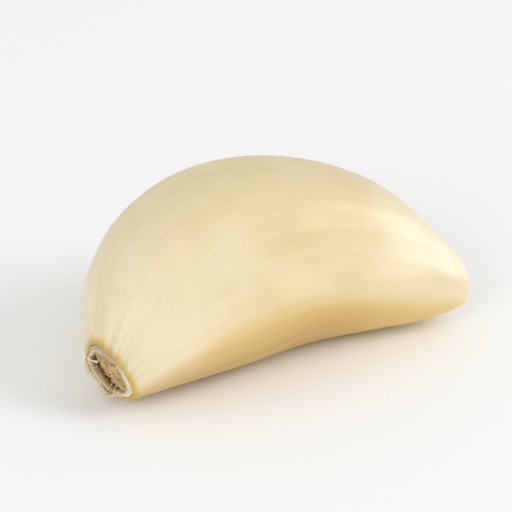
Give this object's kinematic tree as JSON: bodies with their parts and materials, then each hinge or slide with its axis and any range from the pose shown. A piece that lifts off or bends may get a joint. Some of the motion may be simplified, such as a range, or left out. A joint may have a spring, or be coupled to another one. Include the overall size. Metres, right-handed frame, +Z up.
{
  "type": "garlic clove",
  "caption": "Peeled garlic clove lying on one flank: rounded back, hollow inner side, blunt tip, and a corky root plate with a ragged collar.",
  "frame": {"origin": "middle of the clove's bounding box, on the surface it rests on", "axes": "+X from the root plate to the tip, -Y to the hollow inner side, +Z up"},
  "size_m": [0.0342, 0.018, 0.0148],
  "materials": {
    "clove_flesh": "waxy ivory flesh, satin, with a tan cork disc at the root end"
  },
  "bodies": {
    "root": {"clove": "clove_flesh"}
  },
  "joints": []
}
